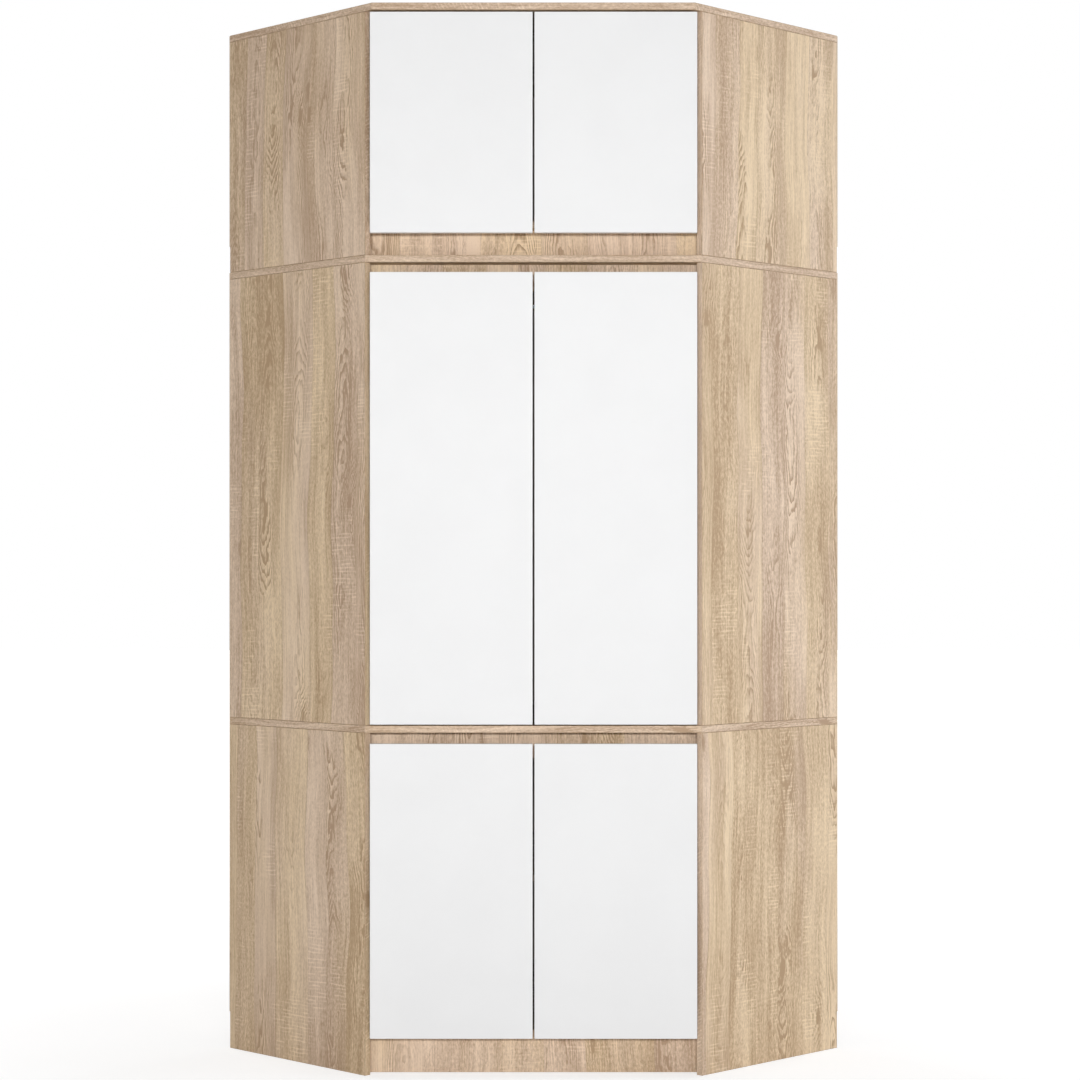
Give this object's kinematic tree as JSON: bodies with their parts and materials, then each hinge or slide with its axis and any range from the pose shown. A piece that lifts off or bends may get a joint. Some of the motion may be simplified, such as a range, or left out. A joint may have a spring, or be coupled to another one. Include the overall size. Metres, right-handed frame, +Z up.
{
  "type": "corner wardrobe",
  "caption": "Five-sided corner wardrobe with a separate top box, plain flush doors on angled cup hinges, a hanging rail, a shelf and recessed plinths.",
  "frame": {"origin": "on the floor, in the middle of the wardrobe's width and depth", "axes": "+Z up, the doors face -Y, the rear corner is at +Y, +X is to the right of someone facing the doors"},
  "size_m": [1.4128, 1.0606, 2.35],
  "materials": {
    "oak_laminate": "light saw-marked oak laminate on chipboard, matt",
    "white_laminate": "plain white laminate on chipboard, matt",
    "hardboard": "thin hardboard, smooth",
    "nickel": "nickel-plated pressed steel",
    "chrome": "polished chrome plate"
  },
  "bodies": {
    "carcass": {"bottom_board": "oak_laminate", "lower_shelf": "oak_laminate", "middle_board": "oak_laminate", "wardrobe_top_board": "oak_laminate", "top_box_bottom_board": "oak_laminate", "top_box_top_board": "oak_laminate", "plinth": "oak_laminate", "lower_rail": "oak_laminate", "upper_rail": "oak_laminate", "top_box_plinth": "oak_laminate", "rear_support": "oak_laminate", "lower_left_side": "oak_laminate", "lower_right_side": "oak_laminate", "middle_left_side": "oak_laminate", "middle_right_side": "oak_laminate", "top_box_left_side": "oak_laminate", "top_box_right_side": "oak_laminate", "lower_left_back": "hardboard", "lower_right_back": "hardboard", "middle_left_back": "hardboard", "middle_right_back": "hardboard", "top_box_left_back": "hardboard", "top_box_right_back": "hardboard", "hanging_rail": "chrome", "rail_bracket_left": "chrome", "rail_bracket_right": "chrome", "lower_left_hinge_arm_1": "nickel", "lower_left_hinge_arm_2": "nickel", "lower_right_hinge_arm_1": "nickel", "lower_right_hinge_arm_2": "nickel", "middle_left_hinge_arm_1": "nickel", "middle_left_hinge_arm_2": "nickel", "middle_left_hinge_arm_3": "nickel", "middle_right_hinge_arm_1": "nickel", "middle_right_hinge_arm_2": "nickel", "middle_right_hinge_arm_3": "nickel", "top_box_left_hinge_arm_1": "nickel", "top_box_left_hinge_arm_2": "nickel", "top_box_right_hinge_arm_1": "nickel", "top_box_right_hinge_arm_2": "nickel"},
    "lower_left_leaf": {"lower_left_door": "white_laminate", "lower_left_hinge_cup_1": "nickel", "lower_left_hinge_cup_2": "nickel"},
    "lower_right_leaf": {"lower_right_door": "white_laminate", "lower_right_hinge_cup_1": "nickel", "lower_right_hinge_cup_2": "nickel"},
    "middle_left_leaf": {"middle_left_door": "white_laminate", "middle_left_hinge_cup_1": "nickel", "middle_left_hinge_cup_2": "nickel", "middle_left_hinge_cup_3": "nickel"},
    "middle_right_leaf": {"middle_right_door": "white_laminate", "middle_right_hinge_cup_1": "nickel", "middle_right_hinge_cup_2": "nickel", "middle_right_hinge_cup_3": "nickel"},
    "top_box_left_leaf": {"top_box_left_door": "white_laminate", "top_box_left_hinge_cup_1": "nickel", "top_box_left_hinge_cup_2": "nickel"},
    "top_box_right_leaf": {"top_box_right_door": "white_laminate", "top_box_right_hinge_cup_1": "nickel", "top_box_right_hinge_cup_2": "nickel"}
  },
  "joints": [
    {"name": "lower_left_hinge", "type": "hinge", "parent": "carcass", "child": "lower_left_leaf", "pos_m": [-0.34595, -0.52233, 0.4065], "axis": [0, 0, -1], "range_deg": [0, 95]},
    {"name": "lower_right_hinge", "type": "hinge", "parent": "carcass", "child": "lower_right_leaf", "pos_m": [0.34595, -0.52233, 0.4065], "axis": [0, 0, 1], "range_deg": [0, 95]},
    {"name": "middle_left_hinge", "type": "hinge", "parent": "carcass", "child": "middle_left_leaf", "pos_m": [-0.34595, -0.52233, 1.266], "axis": [0, 0, -1], "range_deg": [0, 95]},
    {"name": "middle_right_hinge", "type": "hinge", "parent": "carcass", "child": "middle_right_leaf", "pos_m": [0.34595, -0.52233, 1.266], "axis": [0, 0, 1], "range_deg": [0, 95]},
    {"name": "top_box_left_hinge", "type": "hinge", "parent": "carcass", "child": "top_box_left_leaf", "pos_m": [-0.34595, -0.52233, 2.0885], "axis": [0, 0, -1], "range_deg": [0, 95]},
    {"name": "top_box_right_hinge", "type": "hinge", "parent": "carcass", "child": "top_box_right_leaf", "pos_m": [0.34595, -0.52233, 2.0885], "axis": [0, 0, 1], "range_deg": [0, 95]}
  ]
}
